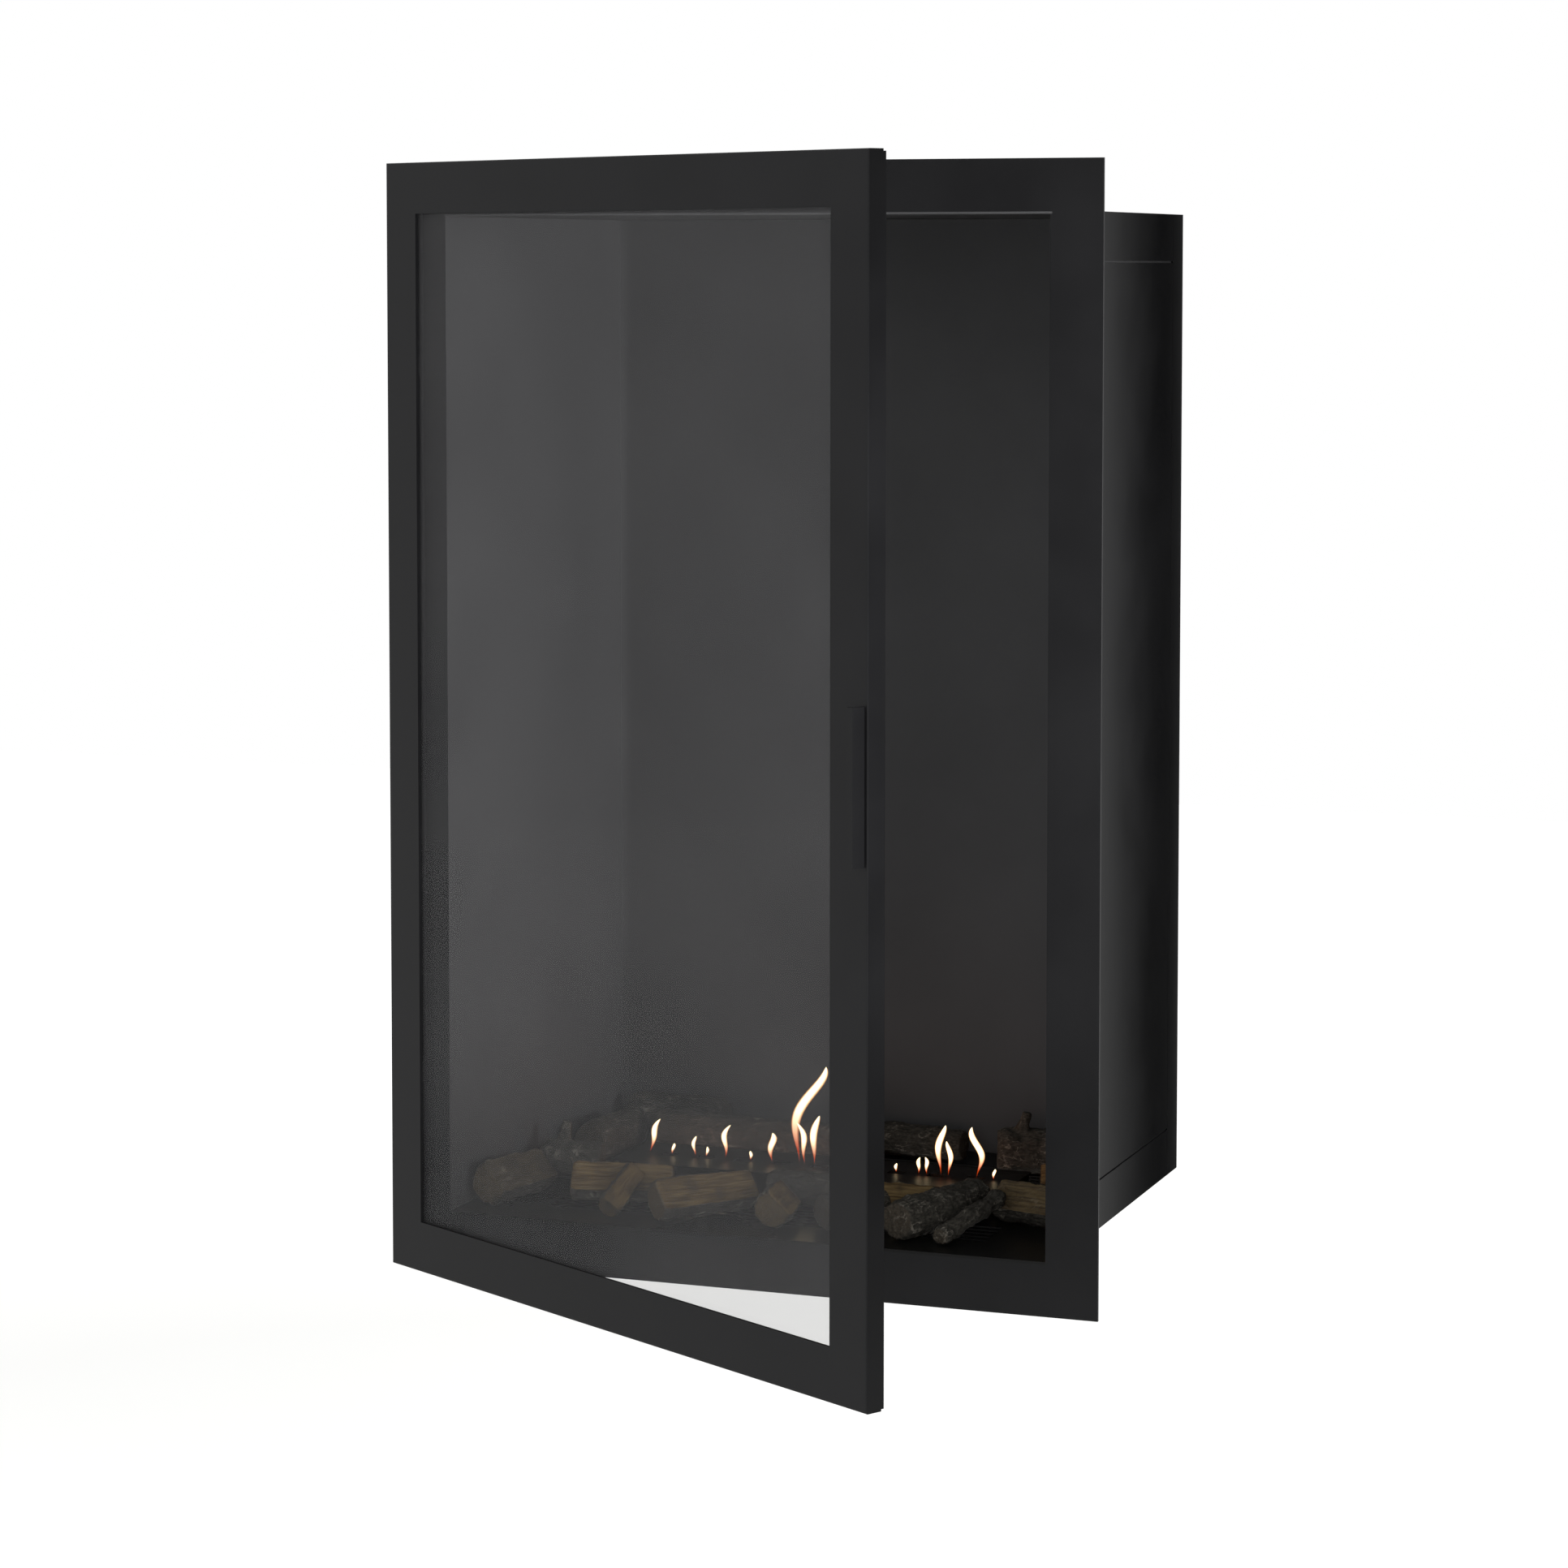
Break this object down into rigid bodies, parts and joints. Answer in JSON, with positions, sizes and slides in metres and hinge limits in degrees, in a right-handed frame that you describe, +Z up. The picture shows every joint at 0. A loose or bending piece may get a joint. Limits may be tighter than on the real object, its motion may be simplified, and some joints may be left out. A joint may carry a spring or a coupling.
{
  "type": "bioethanol fireplace",
  "caption": "Built-in bioethanol fireplace: black sheet-steel firebox with a wall flange, a hinged glass door standing ajar, and ceramic logs round a tray burner.",
  "frame": {"origin": "middle of the housing's underside, the face that stands on the sill of the wall niche", "axes": "+Z up, the glass door faces -Y, +X to the right seen from the front"},
  "size_m": [0.7282, 0.8648, 1.1],
  "materials": {
    "front_paint": "satin black powder coat",
    "housing_paint": "satin black powder coat",
    "liner_paint": "matt black heat-resistant paint",
    "insulation_board": "pressed mineral fibre",
    "hinge_steel": "satin black powder coat",
    "washer_brass": "turned",
    "door_pane": "clear, lightly toned",
    "glass_fibre_tape": "woven black tape",
    "clip_steel": "black coated steel",
    "fibre_seal": "braided black fibre",
    "magnet_steel": "black coated",
    "burner_steel": "brushed, heat toned",
    "knob_black": "satin black",
    "wick_fibre": "white ceramic fibre",
    "log_bark": "painted ceramic fibre, charred bark",
    "log_split": "painted ceramic fibre, split and scorched"
  },
  "bodies": {
    "firebox": {"front_flange": "front_paint", "top_cap": "housing_paint", "bottom_tray": "housing_paint", "side_cover_left": "housing_paint", "side_cover_right": "housing_paint", "back_panel": "housing_paint", "liner_left": "liner_paint", "liner_right": "liner_paint", "liner_ceiling": "liner_paint", "liner_back": "liner_paint", "hearth_plate": "liner_paint", "back_insulation": "insulation_board", "hinge_tongue_lower": "hinge_steel", "hinge_tongue_upper": "hinge_steel", "hinge_pin_lower": "hinge_steel", "hinge_pin_upper": "hinge_steel", "thrust_washers": "washer_brass", "burner_tank": "burner_steel", "burner_top": "burner_steel", "regulator_rails": "burner_steel", "fuel_wick": "wick_fibre", "log_left_stub": "log_bark", "log_left_wall": "log_bark", "log_front_dark": "log_bark", "log_front_brown": "log_bark", "log_right_bark": "log_bark", "log_right_stick": "log_bark", "log_rear_long": "log_bark", "log_rear_right": "log_bark", "log_corner_stub": "log_bark", "log_rear_left": "log_bark", "log_left_front": "log_split", "log_front_split": "log_split", "log_front_lean": "log_split", "log_front_wedge": "log_split", "log_front_mid": "log_split", "log_mid_split": "log_split", "log_right_split": "log_split", "log_right_glow": "log_split"},
    "door": {"door_frame": "front_paint", "door_back_frame": "front_paint", "door_glass": "door_pane", "glass_tape": "glass_fibre_tape", "glass_clips": "clip_steel", "door_seal": "fibre_seal", "door_magnets": "magnet_steel", "door_handle": "front_paint", "hinge_ears_lower": "hinge_steel", "hinge_ears_upper": "hinge_steel"},
    "regulator": {"regulator_slide": "burner_steel", "regulator_rod": "burner_steel", "regulator_knob": "knob_black"}
  },
  "joints": [
    {"name": "door_hinge", "type": "hinge", "parent": "firebox", "child": "door", "pos_m": [-0.3535, -0.251, 0.502], "axis": [0, 0, -1], "range_deg": [-30, 60]},
    {"name": "regulator_slide_travel", "type": "slide", "parent": "firebox", "child": "regulator", "axis": [1, 0, 0], "range_m": [-0.021, 0]}
  ]
}
